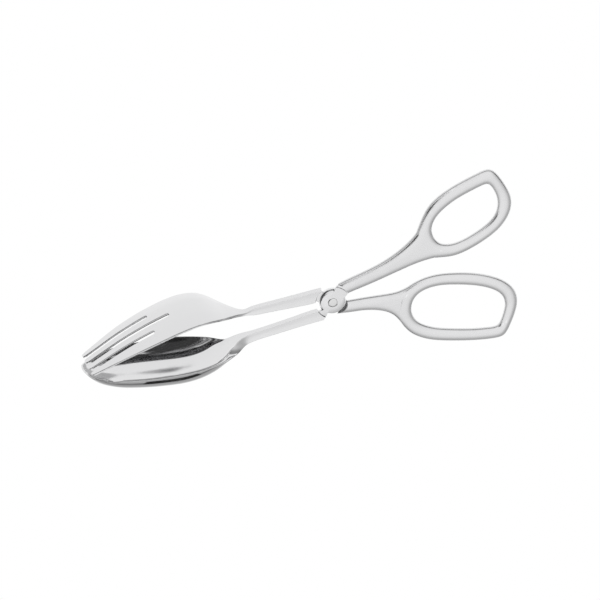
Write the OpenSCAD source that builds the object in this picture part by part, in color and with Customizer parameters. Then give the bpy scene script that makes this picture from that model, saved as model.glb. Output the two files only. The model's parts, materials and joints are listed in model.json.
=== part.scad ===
// Serving tongs of the scissor kind: a spoon and a four-tined fork on two crossed arms.
// Each arm is one forging, cut here into the sections it is made of. The arms are half-lapped
// at the pivot and turn on one rivet.
//
// Every section is drawn in the mechanism's own frame: the rivet's axis is the Z axis, X runs
// towards the finger loops and Y towards the fork. lying() then lays the tongs on their side.

/* [Arms] */
// Thickness of the forged bar
bar_t = 4.2; // [3.6:0.1:4.8]
// Width of the fork's shank where it leaves the pivot
fork_shank_w = 5.8; // [5:0.1:6.4]
// Width of the fork's shank where its neck begins
fork_shank_end_w = 4.0; // [3.8:0.1:4.4]
// Width of the spoon's shank where its neck begins
spoon_shank_end_w = 4.5; // [4.2:0.1:5]
// Distance from the rivet to the start of both necks
neck_start = 44; // [42:1:46]
// Distance from the rivet to the line where neck becomes head
head_start = 61; // [58:1:64]

/* [Pivot] */
// Radius of the spoon arm's disc, which lies in front
front_disc_r = 6.7; // [6.2:0.1:7]
// Radius of the fork arm's disc, which lies behind
rear_disc_r = 7.4; // [7:0.1:8]
// Radius of the curved walls that end the spoon arm's full thickness
spoon_wall_r = 9.4; // [8.8:0.1:9.6]
// Radius of the curved wall that ends the fork's shank
fork_wall_r = 10.0; // [9.6:0.1:11]
// Radius of the curved wall that ends the finger loop's stem
stem_wall_r = 8.3; // [8.3:0.1:8.8]
// Step from the bar's faces down to the faces of the discs
face_step = 0.4; // [0.2:0.1:0.8]
// Gap between the two discs
lap_gap = 0.1; // [0.06:0.02:0.2]
// Radius of the rivet's shank
rivet_r = 1.9; // [1.5:0.1:2.2]
// Running clearance of the rivet in the fork arm's disc
running_gap = 0.05; // [0.03:0.01:0.08]
// Radius of the rivet's flush front end
rivet_front_r = 2.3; // [2.3:0.1:2.8]
// Radius of the rivet's peened rear head
rivet_head_r = 3.4; // [3:0.1:4]
// Height of the rivet's peened rear head
rivet_head_h = 0.8; // [0.5:0.1:1]

/* [Fork] */
// Width of the slots between the tines
slot_w = 3.8; // [3.4:0.1:4]
// Distance from the rivet to the closed end of the middle slot
middle_slot_end = 89.6; // [87:0.2:93]
// Distance from the rivet to the closed ends of the outer slots
outer_slot_end = 100.4; // [98:0.2:103]

/* [Detail] */
// Steps between two stations of a loft or two points of a smooth outline
curve_steps = 4; // [2:1:6]
// Points around the section of a loop or a head
section_points = 20; // [20:4:40]

/* [Hidden] */
$fn = 64;

half_t = bar_t / 2;
half_gap = lap_gap / 2;
disc_face = half_t - face_step;
steel = [0.80, 0.81, 0.82];
rivet_steel = [0.72, 0.73, 0.75];

// Where the tongs lie: the handles dip by this angle, so that the sides of the heads and the
// ends of the loops rest together on the surface.
lie_angle = 5.94;
pivot_at = [17.48, -3.74, 12.87];

module lying() {
    translate(pivot_at) rotate([0, lie_angle, 0]) children();
}

// Smooth curves through chosen points ------------------------------------------------------------

// One value or point of a Catmull-Rom curve between b and c.
function on_curve(a, b, c, d, t) =
    (2 * b + (c - a) * t + (2 * a - 5 * b + 4 * c - d) * t ^ 2 + (3 * b - a - 3 * c + d) * t ^ 3) / 2;

function closed_curve(points) =
    let (n = len(points))
    [for (i = [0:n - 1]) for (s = [0:curve_steps - 1])
        on_curve(points[(i + n - 1) % n], points[i], points[(i + 1) % n], points[(i + 2) % n],
                 s / curve_steps)];

function open_curve(points) =
    let (n = len(points))
    [for (i = [0:n - 2]) for (s = [0:curve_steps - (i == n - 2 ? 0 : 1)])
        on_curve(points[max(i - 1, 0)], points[i], points[i + 1], points[min(i + 2, n - 1)],
                 s / curve_steps)];

// A superellipse: power 2 is round, and a higher power is squarer.
function squared(value, power) = sign(value) * abs(value) ^ (2 / power);
function around(power) =
    [for (k = [0:section_points - 1]) let (angle = 360 * k / section_points)
        [squared(cos(angle), power), squared(sin(angle), power)]];

// Solids from rings of points ---------------------------------------------------------------------

function ring_faces(count, rings, closed) =
    [for (i = [0:rings - (closed ? 1 : 2)]) for (k = [0:count - 1])
        let (a = i * count, b = ((i + 1) % rings) * count, next = (k + 1) % count)
        each [[a + k, b + next, a + next], [a + k, b + k, b + next]]];

module loft(rings) {
    count = len(rings[0]);
    last = (len(rings) - 1) * count;
    polyhedron(points = [for (ring = rings) each ring],
               faces = concat(ring_faces(count, len(rings), false),
                              [[for (k = [0:count - 1]) k]],
                              [[for (k = [count - 1:-1:0]) last + k]]),
               convexity = 6);
}

module closed_loft(rings) {
    polyhedron(points = [for (ring = rings) each ring],
               faces = ring_faces(len(rings[0]), len(rings), true),
               convexity = 6);
}

// Heads and necks ---------------------------------------------------------------------------------

// Stations along each head, from the shank to the tip:
// [distance from the rivet, height of the rim line, half width, thickness, bulge across]
spoon_stations = [
    [neck_start, -8.3, half_t, spoon_shank_end_w, 0],
    [50, -8.75, 2.4, 5.0, 0],
    [53, -9.2, 3.3, 5.1, 0],
    [57, -10.6, 5.6, 5.0, -0.3],
    [head_start, -11.7, 8.8, 3.7, -1.7],
    [66, -11.4, 13.6, 2.5, -4.1],
    [72, -10.8, 17.4, 1.9, -7.3],
    [80, -9.9, 20.4, 1.5, -9.95],
    [90, -8.5, 22.3, 1.5, -11.4],
    [102, -7.3, 22.5, 1.4, -10.95],
    [114, -6.1, 21.4, 1.4, -9.9],
    [126, -4.6, 18.6, 1.3, -8.65],
    [135, -3.3, 14.4, 1.3, -6],
    [140, -2.5, 9, 1.2, -3],
    [142.2, -2.1, 1.5, 1.2, -0.3]];
spoon_reach = 142.2;
fork_stations = [
    [neck_start, 6.65, half_t, fork_shank_end_w, 0],
    [46.5, 6.75, 2.1, 2.6, 0],
    [48.5, 6.7, 2.2, 1.7, 0],
    [51, 7.2, 2.8, 1.7, 0],
    [55, 8.7, 5, 1.9, 0.2],
    [head_start, 11.4, 10, 2.0, 0.5],
    [66, 14.1, 14.8, 1.8, 1],
    [72, 16.1, 18.1, 1.6, 1.5],
    [80, 16.5, 19.8, 1.5, 1.9],
    [88, 15.5, 20.2, 1.5, 2],
    [96, 13.8, 20.1, 1.4, 1.9],
    [106, 11.2, 19.5, 1.4, 1.7],
    [118, 7.5, 17.7, 1.3, 1.3],
    [130, 2.95, 14.8, 1.3, 0.8],
    [139.5, -0.85, 12.4, 1.2, 0.4]];
spoon_bulge_power = 6;
fork_bulge_power = 2.5;
sheet_power = 5;

function station_ring(station, bulge_power) =
    [for (p = around(sheet_power))
        [-station[0],
         station[1] + station[4] * (1 - abs(p[0]) ^ bulge_power) + p[1] * station[3] / 2,
         p[0] * station[2]]];

// The rings of a head between two distances from the rivet.
function rings_between(stations, from, to, bulge_power) =
    [for (station = open_curve(stations))
        if (station[0] > from - 0.01 && station[0] < to + 0.01) station_ring(station, bulge_power)];

// The fork's head is one closed sheet whose lines run lengthwise: four to a tine, and the strip
// between two tines is left open beyond the end of its slot.
lines_per_tine = 4;
line_count = 4 * lines_per_tine;
tine_pitch = 7.6;
slot_shift = 0.2;
tip_reach = 139.6;
tip_length = 2.2;
tip_rounding = 1.1;
spread_ratio = 0.47;
half_slot = slot_w / 2;
fork_curve = open_curve(fork_stations);
function fork_value(x, index) = lookup(x, [for (s = fork_curve) [s[0], s[index]]]);

function slot_end(slot_number) = slot_number == 0 ? middle_slot_end : outer_slot_end;

// Half the width of a slot, which closes in a half circle.
function slot_half(x, slot_number) =
    let (d = max(x - slot_end(slot_number), 0.12 * half_slot))
    d < half_slot ? sqrt(half_slot ^ 2 - (half_slot - d) ^ 2) : half_slot;

// Distance of the outer slots from the middle: a share of the width behind the slots' ends, and
// then straight to the tips.
function slot_spread(x) =
    x < outer_slot_end ? spread_ratio * fork_value(x, 2) :
    let (start = spread_ratio * fork_value(outer_slot_end, 2))
    start + (tine_pitch - start) * (x - outer_slot_end) / (tip_reach - outer_slot_end);

// How far the corners of a tine are rounded away near its tip.
function tip_inset(x) =
    let (d = max(0, x - (tip_reach - tip_length)) / tip_length)
    tip_rounding * (1 - sqrt(1 - min(d, 1) ^ 2)) ;

// Where the lengthwise lines lie across the head, from one edge to the other.
function lines_at(x) =
    let (w = fork_value(x, 2), spread = slot_spread(x), inset = tip_inset(x))
    [for (tine = [0:3])
        let (low = (tine == 0 ? -w : (tine - 2) * spread + slot_half(x, tine - 2) + slot_shift) + inset,
             high = (tine == 3 ? w : (tine - 1) * spread - slot_half(x, tine - 1) + slot_shift) - inset)
        for (k = [0:lines_per_tine - 1]) low + (high - low) * k / (lines_per_tine - 1)];

function sheet_point(x, z, side) =
    let (w = fork_value(x, 2))
    [-x, fork_value(x, 1) + fork_value(x, 4) * (1 - min(1, abs(z / w)) ^ fork_bulge_power)
         + side * fork_value(x, 3) / 2, z];

round_end = [0.06, 0.16, 0.3, 0.5];
fork_cuts = concat(
    [for (x = [head_start:3:middle_slot_end - 1.5]) x],
    [for (d = round_end) middle_slot_end + 2 * d * half_slot],
    [95, 98],
    [for (d = round_end) outer_slot_end + 2 * d * half_slot],
    [for (x = [106:3.5:tip_reach - tip_length]) x],
    [for (d = [0, 0.5, 0.8, 1]) tip_reach - tip_length * (1 - d)]);

// True where the strip after line k is open, between cut i and the next.
function is_open(i, k) =
    k % lines_per_tine == lines_per_tine - 1 && k < line_count - 1 && i >= 0
    && fork_cuts[i] > slot_end(floor(k / lines_per_tine) - 1);

module fork_sheet() {
    cuts = len(fork_cuts);
    rows = [for (x = fork_cuts) lines_at(x)];
    below = cuts * line_count;
    function top(i, k) = i * line_count + k;
    function under(i, k) = below + i * line_count + k;
    function quad(a, b, c, d) = [[a, b, c], [a, c, d]];
    function wall(i, k) = quad(top(i, k), top(i + 1, k), under(i + 1, k), under(i, k));
    function back_wall(i, k) = quad(under(i, k), under(i + 1, k), top(i + 1, k), top(i, k));
    function across(i, k) = quad(top(i, k), under(i, k), under(i, k + 1), top(i, k + 1));
    function back_across(i, k) = quad(top(i, k + 1), under(i, k + 1), under(i, k), top(i, k));
    polyhedron(
        points = [for (side = [1, -1]) for (i = [0:cuts - 1]) for (z = rows[i])
                     sheet_point(fork_cuts[i], z, side)],
        faces = [
            for (i = [0:cuts - 2]) for (k = [0:line_count - 2]) if (!is_open(i, k))
                each quad(top(i, k), top(i, k + 1), top(i + 1, k + 1), top(i + 1, k)),
            for (i = [0:cuts - 2]) for (k = [0:line_count - 2]) if (!is_open(i, k))
                each quad(under(i, k + 1), under(i, k), under(i + 1, k), under(i + 1, k + 1)),
            for (i = [0:cuts - 2]) each wall(i, 0),
            for (i = [0:cuts - 2]) each back_wall(i, line_count - 1),
            for (i = [0:cuts - 2]) for (k = [0:line_count - 2]) if (is_open(i, k))
                each concat(back_wall(i, k), wall(i, k + 1)),
            for (i = [0:cuts - 2]) for (k = [0:line_count - 2]) if (is_open(i, k) && !is_open(i - 1, k))
                each back_across(i, k),
            for (k = [0:line_count - 2]) each across(0, k),
            for (k = [0:line_count - 2]) if (!is_open(cuts - 2, k)) each back_across(cuts - 1, k)],
        convexity = 8);
}

// Shanks, discs and loops -------------------------------------------------------------------------

spoon_shank_outline = [
    [-neck_start, -8.3 + spoon_shank_end_w / 2], [-neck_start, -8.3 - spoon_shank_end_w / 2],
    [-7.5, -8.7], [-5.6, -8.2], [-4, -6], [-2, -2.9]];
fork_shank_outline = [
    [-neck_start, 6.65 - fork_shank_end_w / 2], [-neck_start, 6.65 + fork_shank_end_w / 2],
    [-7.5, 3 + fork_shank_w], [-4, 5], [-4, 3]];

// The loops: matching points around the outer edge and around the opening, starting beyond the
// stem's upper edge and running clockwise.
thumb_outer = [
    [52.8, 28.6], [57.5, 37.0], [63.5, 43.9], [73, 48.9], [83, 52.2], [91, 54.2], [97.2, 55.2],
    [101.3, 52.0], [105.2, 43.0], [107.2, 34.5], [105.2, 26.5], [99.0, 19.2], [90.4, 14.2],
    [80.4, 10.6], [72.4, 8.8], [64.5, 9.4], [56.6, 12.5], [52.5, 18.5]];
thumb_opening = [
    [60.6, 27.9], [62.3, 32.2], [67.0, 37.2], [75.4, 41.9], [83.4, 44.6], [90.4, 46.4], [95.4, 47.2],
    [97.8, 44.3], [99.5, 39.0], [99.7, 33.6], [97.8, 28.0], [93.5, 23.5], [87.4, 20.1],
    [80.4, 17.4], [74.4, 16.1], [68.6, 16.1], [63.4, 18.3], [60.9, 22.5]];
thumb_stem = [
    // [centre x, centre y, half vector across x, half vector across y]
    [3, 5.2, -0.6, 3.7],
    [12, 7.15, -0.7, 3.8],
    [20.3, 8.65, -0.9, 4.0],
    [30.3, 10.9, -1.2, 4.3],
    [40.2, 13.75, -1.7, 5.1],
    [48.2, 16.6, -2.4, 6.5],
    [55, 19.2, -3.2, 8.4]];
finger_outer = [
    [45.4, -2.4], [52.0, -0.4], [60.4, -0.6], [70.4, -2.5], [80.4, -5.6], [89.6, -10.2],
    [96.2, -15.4], [100.2, -21.5], [100.8, -28.4], [98.4, -35.0], [94.4, -42.0], [90.4, -47.2],
    [84.5, -47.5], [74.0, -45.6], [60.4, -42.1], [50.0, -38.4], [43.2, -34.3], [38.6, -29.6],
    [36.2, -23.0], [37.0, -12.0]];
finger_opening = [
    [48.0, -8.0], [53.4, -6.8], [60.4, -7.0], [69.4, -9.1], [78.4, -12.1], [85.4, -15.5],
    [90.6, -19.3], [93.6, -23.6], [94.1, -28.6], [92.8, -32.8], [90.6, -37.4], [87.8, -40.8],
    [82.6, -40.6], [73.6, -38.8], [62.0, -35.5], [53.6, -32.4], [47.4, -28.8], [43.6, -24.8],
    [41.8, -19.5], [43.4, -12.4]];
finger_stem = [
    [2, -3.6, 1.0, 3.6],
    [12, -6.4, 0.6, 3.5],
    [20, -7.8, 0.6, 4.2],
    [28, -9.4, 1.0, 5.2],
    [35, -12.2, 2.4, 7.6],
    [42, -15.0, 4.0, 9.6]];
loop_power = 2.6;

// One ring of points around the bar, whose section spans the given half vector.
function bar_ring(centre, across) =
    [for (p = around(loop_power))
        [centre[0] + across[0] * p[0], centre[1] + across[1] * p[0], half_t * p[1]]];

function loop_rings(outer, opening) =
    let (outside = closed_curve(outer), inside = closed_curve(opening))
    [for (i = [0:len(outside) - 1])
        bar_ring((outside[i] + inside[i]) / 2, (outside[i] - inside[i]) / 2)];

function stem_rings(stations) =
    [for (s = open_curve(stations)) bar_ring([s[0], s[1]], [s[2], s[3]])];

module wall_cut(radius) {
    cylinder(h = 3 * bar_t, r = radius, center = true);
}

module flat_bar(outline) {
    linear_extrude(height = bar_t, center = true) polygon(outline);
}

// The half of the bar on one side of the lap joint, from the joint to the disc's face.
module lap_half(side) {
    low = side > 0 ? half_gap : -half_t;
    high = side > 0 ? disc_face : -half_gap;
    translate([0, 0, low]) linear_extrude(height = high - low) children();
}

// Sub-parts ---------------------------------------------------------------------------------------

module spoon_bowl() {
    color(steel) lying() loft(rings_between(spoon_stations, head_start, spoon_reach, spoon_bulge_power));
}

module spoon_neck() {
    color(steel) lying() loft(rings_between(spoon_stations, neck_start, head_start, spoon_bulge_power));
}

module spoon_shank() {
    color(steel) lying() difference() {
        flat_bar(spoon_shank_outline);
        wall_cut(spoon_wall_r);
    }
}

module spoon_lap_disc() {
    color(steel) lying() difference() {
        lap_half(1) {
            circle(front_disc_r);
            intersection() {
                circle(spoon_wall_r);
                union() {
                    polygon([[-9.6, -3.1], [-9.6, -9], [-7.5, -8.7], [-5.6, -8.2], [-4, -6.4], [3, 0]]);
                    polygon([[11, 3.2], [9, 11], [3.6, 9.4], [-2, 2], [5, -2.4]]);
                }
            }
        }
        cylinder(h = 2 * bar_t, r = rivet_r, center = true);
        translate([0, 0, disc_face - face_step]) cylinder(h = bar_t, r = rivet_front_r);
    }
}

module thumb_loop() {
    color(steel) lying() difference() {
        union() {
            closed_loft(loop_rings(thumb_outer, thumb_opening));
            loft(stem_rings(thumb_stem));
        }
        wall_cut(spoon_wall_r);
    }
}

module fork_head() {
    color(steel) lying() fork_sheet();
}

module fork_neck() {
    color(steel) lying() loft(rings_between(fork_stations, neck_start, head_start, fork_bulge_power));
}

module fork_shank() {
    color(steel) lying() difference() {
        flat_bar(fork_shank_outline);
        wall_cut(fork_wall_r);
    }
}

module fork_lap_disc() {
    color(steel) lying() difference() {
        lap_half(-1) {
            circle(rear_disc_r);
            intersection() {
                circle(fork_wall_r);
                polygon([[-11, 2.8], [-11, 9], [-5.2, 8.6], [-4.2, 6.6], [2, 0], [-3, -2]]);
            }
            intersection() {
                circle(stem_wall_r);
                polygon([[9, -2.6], [9, -9], [4, -9], [-3, -6], [0, 4]]);
            }
        }
        cylinder(h = 2 * bar_t, r = rivet_r + running_gap, center = true);
    }
}

module finger_loop() {
    color(steel) lying() difference() {
        union() {
            closed_loft(loop_rings(finger_outer, finger_opening));
            loft(stem_rings(finger_stem));
        }
        wall_cut(stem_wall_r);
    }
}

module pivot_rivet() {
    front = disc_face - face_step;
    back = -half_t - running_gap;
    color(rivet_steel) lying() rotate_extrude() polygon(concat(
        [[0, back - rivet_head_h]],
        [for (a = [10:10:80]) [rivet_head_r * sin(a), back - rivet_head_h * cos(a)]],
        [[rivet_head_r, back], [rivet_r, back], [rivet_r, front], [rivet_front_r, front],
         [rivet_front_r, half_t - 0.3], [rivet_front_r - 0.3, half_t], [0, half_t + 0.1]]));
}

spoon_bowl();
spoon_neck();
spoon_shank();
spoon_lap_disc();
thumb_loop();
fork_head();
fork_neck();
fork_shank();
fork_lap_disc();
finger_loop();
pivot_rivet();
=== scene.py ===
# %% [markdown]
# # Serving tongs of polished steel
# The real object is a pair of scissor tongs: a serving spoon and a four-tined fork, each forged in
# one with its arm and its finger loop, crossed in a half-lap and held by one rivet. Such tongs
# could be made here from the flat-sided solids of the CAD model, but polished steel shows every
# edge and facet, so each arm is made anew as one smooth skin. The CAD model stays the frame: it
# gives the hinge and the places. The sizes below repeat its own, and only the bowl's section is a
# little rounder, because a flat bottom mirrors itself.

# %% Load the frame
import json
import math

import bmesh
import bpy
import numpy as np
from mathutils import Matrix, Vector

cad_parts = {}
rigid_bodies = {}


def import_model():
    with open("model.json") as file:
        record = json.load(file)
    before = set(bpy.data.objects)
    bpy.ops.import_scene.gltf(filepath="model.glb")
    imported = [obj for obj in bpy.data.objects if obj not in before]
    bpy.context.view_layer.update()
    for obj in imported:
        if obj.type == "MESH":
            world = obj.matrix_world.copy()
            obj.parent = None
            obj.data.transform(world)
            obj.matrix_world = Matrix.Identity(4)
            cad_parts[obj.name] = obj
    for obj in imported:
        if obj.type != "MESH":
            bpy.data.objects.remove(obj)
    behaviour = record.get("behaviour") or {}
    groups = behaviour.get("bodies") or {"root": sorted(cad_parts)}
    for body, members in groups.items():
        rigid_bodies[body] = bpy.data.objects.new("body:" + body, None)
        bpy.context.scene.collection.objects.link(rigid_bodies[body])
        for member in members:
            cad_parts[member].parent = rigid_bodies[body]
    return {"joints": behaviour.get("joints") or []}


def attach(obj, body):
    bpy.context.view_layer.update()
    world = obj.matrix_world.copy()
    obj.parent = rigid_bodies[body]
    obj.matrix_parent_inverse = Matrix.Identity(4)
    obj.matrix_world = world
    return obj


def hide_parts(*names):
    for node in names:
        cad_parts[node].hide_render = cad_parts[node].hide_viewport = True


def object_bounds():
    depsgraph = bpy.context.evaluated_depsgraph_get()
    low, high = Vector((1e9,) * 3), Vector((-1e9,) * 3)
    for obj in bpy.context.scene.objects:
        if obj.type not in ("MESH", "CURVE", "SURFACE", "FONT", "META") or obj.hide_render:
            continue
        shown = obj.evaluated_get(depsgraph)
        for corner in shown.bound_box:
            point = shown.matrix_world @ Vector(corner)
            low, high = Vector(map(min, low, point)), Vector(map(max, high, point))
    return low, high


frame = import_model()
cad_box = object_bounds()
MM = 0.001

# %% [markdown]
# ## The mechanism's own axes
# Tongs are drawn most easily about their rivet: X towards the finger loops, Y towards the fork and
# Z along the rivet to its front. The tongs lie on their side, slightly tilted, so these axes are
# read from the hinge in the frame. Everything below is drawn in millimetres in these axes, and
# one matrix lays it down where the CAD model lies.

# %% Axes from the hinge
hinge = frame["joints"][0]
rivet_axis = -Vector(hinge["axis"]).normalized()
fork_side = Vector((0, 1, 0))
loop_side = fork_side.cross(rivet_axis)
to_row = Matrix((
    (loop_side.x, fork_side.x, rivet_axis.x),
    (loop_side.y, fork_side.y, rivet_axis.y),
    (loop_side.z, fork_side.z, rivet_axis.z))).to_4x4()
placement = Matrix.Translation(Vector(hinge["pos_m"])) @ to_row @ Matrix.Scale(MM, 4)
spoon_body, fork_body = hinge["parent"], hinge["child"]
print("rivet axis:", [round(c, 3) for c in rivet_axis])

# %% Driving sizes, in millimetres
bar_half = 2.1          # half the thickness of the forged bar
lap_gap = 0.05          # from the middle plane to each disc
disc_face = 1.7         # height of the front disc's face
rivet_radius = 1.9
front_disc_radius = 6.7
rear_disc_radius = 7.4
spoon_wall = 9.4        # radius of the walls where the spoon arm's full thickness ends
fork_wall = 10.0        # the same on the fork's shank
stem_wall = 8.3         # and on the stem of the finger loop

# %% [markdown]
# ## Smooth lines through chosen points
# A forged outline has no straight segments. A list of points with straight lines between them
# would show its corners in the reflections, so every outline is a Catmull-Rom curve: it passes
# through each chosen point and keeps a smooth direction there.


# %% Curve helpers
def between(before, start, end, after, t):
    """The Catmull-Rom curve from start to end, at t from 0 to 1."""
    return (2 * start + (end - before) * t + (2 * before - 5 * start + 4 * end - after) * t ** 2
            + (3 * start - before - 3 * end + after) * t ** 3) / 2


def open_curve(points, steps):
    """Points along an open curve, with steps stretches between two given points."""
    p = np.asarray(points, float)
    last = len(p) - 1
    out = [between(p[max(i - 1, 0)], p[i], p[i + 1], p[min(i + 2, last)], s / steps)
           for i in range(last) for s in range(steps)]
    return np.array(out + [p[last]])


def closed_curve(points, steps):
    """The same around a closed outline."""
    p = np.asarray(points, float)
    n = len(p)
    return np.array([between(p[i - 1], p[i], p[(i + 1) % n], p[(i + 2) % n], s / steps)
                     for i in range(n) for s in range(steps)])


def at_share(points, shares):
    """Points of a polyline at the given shares of its length."""
    p = np.asarray(points, float)
    run = np.concatenate(([0], np.cumsum(np.linalg.norm(np.diff(p, axis=0), axis=1))))
    return np.stack([np.interp(np.asarray(shares) * run[-1], run, p[:, k])
                     for k in range(p.shape[1])], axis=1)


# %% [markdown]
# ## From a cage to a piece
# Each skin starts as a cage of one or two thousand points, which Subdivision Surface turns into
# an even, polished surface, as a smith's planishing evens a forging. The result is kept as a plain
# mesh in the row's frame, with its object at the origin.


# %% Mesh helpers
turning_segments = 96     # flats around a turned shape
seam_width = 2e-6         # metres within which the finished piece's points are merged
crease_degrees = 38       # edges sharper than this stay crisp


def new_object(name, points, faces):
    """An object from points in millimetres about the rivet."""
    mesh = bpy.data.meshes.new(name)
    mesh.from_pydata([tuple(p) for p in points], [], [tuple(f) for f in faces])
    mesh.update()
    thing = bpy.data.objects.new(name, mesh)
    bpy.context.scene.collection.objects.link(thing)
    return thing


def apply_modifiers(thing):
    """Replaces an object's mesh with what its modifiers make of it."""
    bpy.context.view_layer.update()
    evaluated = thing.evaluated_get(bpy.context.evaluated_depsgraph_get())
    mesh = bpy.data.meshes.new_from_object(evaluated)
    thing.modifiers.clear()
    old = thing.data
    thing.data = mesh
    bpy.data.meshes.remove(old)


def subdivide(thing, levels):
    smooth = thing.modifiers.new("smooth skin", "SUBSURF")
    smooth.levels = levels
    smooth.render_levels = levels
    apply_modifiers(thing)


def combine(thing, other, operation):
    """Joins other to thing, or cuts it away, and removes other."""
    tool = thing.modifiers.new("combine", "BOOLEAN")
    tool.operation = operation
    tool.solver = "EXACT"
    tool.object = other
    apply_modifiers(thing)
    bpy.data.objects.remove(other)


def lathe(name, profile, segments=turning_segments):
    """A closed ring from a closed profile of (radius, height) pairs around the rivet's axis."""
    n = len(profile)
    points = [(r * math.cos(a), r * math.sin(a), z)
              for a in (2 * math.pi * k / segments for k in range(segments)) for r, z in profile]
    faces = [(k * n + i, ((k + 1) % segments) * n + i,
              ((k + 1) % segments) * n + (i + 1) % n, k * n + (i + 1) % n)
             for k in range(segments) for i in range(n)]
    return new_object(name, points, faces)


def clean(thing, merge=None, degenerate=None):
    """Merges near points, drops faces thinner than degenerate and turns all faces outwards."""
    bm = bmesh.new()
    bm.from_mesh(thing.data)
    if merge:
        bmesh.ops.remove_doubles(bm, verts=bm.verts, dist=merge)
    if degenerate:
        bmesh.ops.dissolve_degenerate(bm, dist=degenerate, edges=bm.edges)
    bmesh.ops.recalc_face_normals(bm, faces=bm.faces)
    bm.to_mesh(thing.data)
    bm.free()


def close_poles(thing):
    """Merges the points that a profile puts on the axis and drops the faces left without area."""
    clean(thing, merge=1e-5, degenerate=1e-6)


def plate(name, outline, low, high, rounding):
    """A flat plate with slightly rounded edges, from a convex outline."""
    n = len(outline)
    points = [(x, y, z) for z in (low, high) for x, y in outline]
    faces = [tuple(range(n - 1, -1, -1)), tuple(range(n, 2 * n))]
    faces += [(i, (i + 1) % n, n + (i + 1) % n, n + i) for i in range(n)]
    thing = new_object(name, points, faces)
    soft = thing.modifiers.new("soft edge", "BEVEL")
    soft.width = rounding
    soft.segments = 3
    apply_modifiers(thing)
    return thing


def finish_piece(thing, body, nodes, material):
    """Lays a piece down in the row's frame and ties it to its body."""
    thing.data.transform(placement)
    clean(thing, merge=seam_width)
    thing.data.shade_smooth()
    thing.data.set_sharp_from_angle(angle=math.radians(crease_degrees))
    thing.data.materials.clear()
    thing.data.materials.append(material)
    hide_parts(*nodes)
    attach(thing, body)
    print(thing.name, "has", len(thing.data.polygons), "faces")


# %% [markdown]
# ## A sheet of steel with a rounded rim
# The heads are forged sheet, about one and a half millimetres thick, and the shanks are the same
# metal standing on edge. Both can be one sheet: its middle surface is a grid of points, and a skin
# is laid on both sides of it, with three rows of points around the rim that keep it round but
# crisp.


# %% Skin a sheet
rim_drop_most = 0.6       # how far below the face the rim's rounding starts
rim_drop_share = 0.35     # and the most of half the thickness that it takes
rim_bulge = 0.12          # how far the rim's middle row stands out


def skin_sheet(name, middle, normal, thickness, inset, cells):
    """A cage around a middle surface; cells are its quads, as four indices each."""
    count = len(middle)
    half = thickness / 2
    rim_drop = np.minimum(rim_drop_most, rim_drop_share * half)
    seen = {}
    for cell in cells:
        for a, b in zip(cell, cell[1:] + cell[:1]):
            seen[(a, b)] = cell
    rim = [(a, b) for a, b in seen if (b, a) not in seen]
    onward = dict(rim)
    back = {b: a for a, b in rim}
    points = list(middle + normal * half[:, None]) + list(middle - normal * half[:, None])
    side = {}
    for v in onward:
        along = middle[onward[v]] - middle[back[v]]
        out = np.cross(along, normal[v])
        out /= np.linalg.norm(out)
        points[v] = points[v] - out * inset[v]
        points[count + v] = points[count + v] - out * inset[v]
        side[v] = len(points)
        lift = half[v] - rim_drop[v]
        points += [middle[v] + normal[v] * lift, middle[v] + out * rim_bulge,
                   middle[v] - normal[v] * lift]
    faces = [tuple(cell) for cell in cells]
    faces += [tuple(count + v for v in reversed(cell)) for cell in cells]
    for a, b in rim:
        rows_a = [a, side[a], side[a] + 1, side[a] + 2, count + a]
        rows_b = [b, side[b], side[b] + 1, side[b] + 2, count + b]
        faces += [(rows_b[k], rows_a[k], rows_a[k + 1], rows_b[k + 1]) for k in range(4)]
    return new_object(name, points, faces)


# %% [markdown]
# ## The shape of a head
# A spoon or a fork is described as a silversmith lays it out: at each distance from the rivet, how
# high its rim runs, how wide and how thick it is and how deeply it is dished. The shank is the
# first stretch of the same table, where the "width" is the bar's thickness.

# %% Head tables
# distance from the rivet, height of the rim, half width, thickness, dishing
spoon_table = [
    (4, -6.0, 2.1, 5.9, 0), (14, -6.25, 2.1, 5.6, 0), (24, -7.0, 2.1, 5.0, 0),
    (34, -7.7, 2.1, 4.7, 0), (44, -8.3, 2.1, 4.5, 0), (50, -8.75, 2.4, 5.0, 0),
    (53, -9.2, 3.3, 5.1, 0), (57, -10.6, 5.6, 5.0, -0.3), (61, -11.7, 8.8, 3.7, -1.7),
    (66, -11.4, 13.6, 2.5, -4.1), (72, -10.8, 17.4, 1.9, -7.3), (80, -9.9, 20.4, 1.5, -9.95),
    (90, -8.5, 22.3, 1.5, -11.4), (102, -7.3, 22.5, 1.4, -10.95), (114, -6.1, 21.4, 1.4, -9.9),
    (126, -4.6, 18.6, 1.3, -8.65), (135, -3.3, 14.4, 1.3, -6), (140, -2.5, 9, 1.2, -3),
    (142.2, -2.1, 1.5, 1.2, -0.3)]
fork_table = [
    (4, 5.9, 2.1, 6.1, 0), (12, 5.75, 2.1, 6.3, 0), (20, 5.95, 2.1, 5.7, 0), (30, 6.3, 2.1, 4.9, 0),
    (40, 6.6, 2.1, 4.3, 0), (44, 6.65, 2.1, 4.0, 0), (46.5, 6.75, 2.1, 2.6, 0),
    (48.5, 6.7, 2.2, 1.7, 0), (51, 7.2, 2.8, 1.7, 0), (55, 8.7, 5, 1.9, 0.2),
    (61, 11.4, 10, 2.0, 0.5), (66, 14.1, 14.8, 1.8, 1), (72, 16.1, 18.1, 1.6, 1.5),
    (80, 16.5, 19.8, 1.5, 1.9), (88, 15.5, 20.2, 1.5, 2), (96, 13.8, 20.1, 1.4, 1.9),
    (106, 11.2, 19.5, 1.4, 1.7), (118, 7.5, 17.7, 1.3, 1.3), (130, 2.95, 14.8, 1.3, 0.8),
    (139.6, -0.85, 12.4, 1.2, 0.4)]
RIM, WIDTH, THICK, DISH = 1, 2, 3, 4
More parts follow.
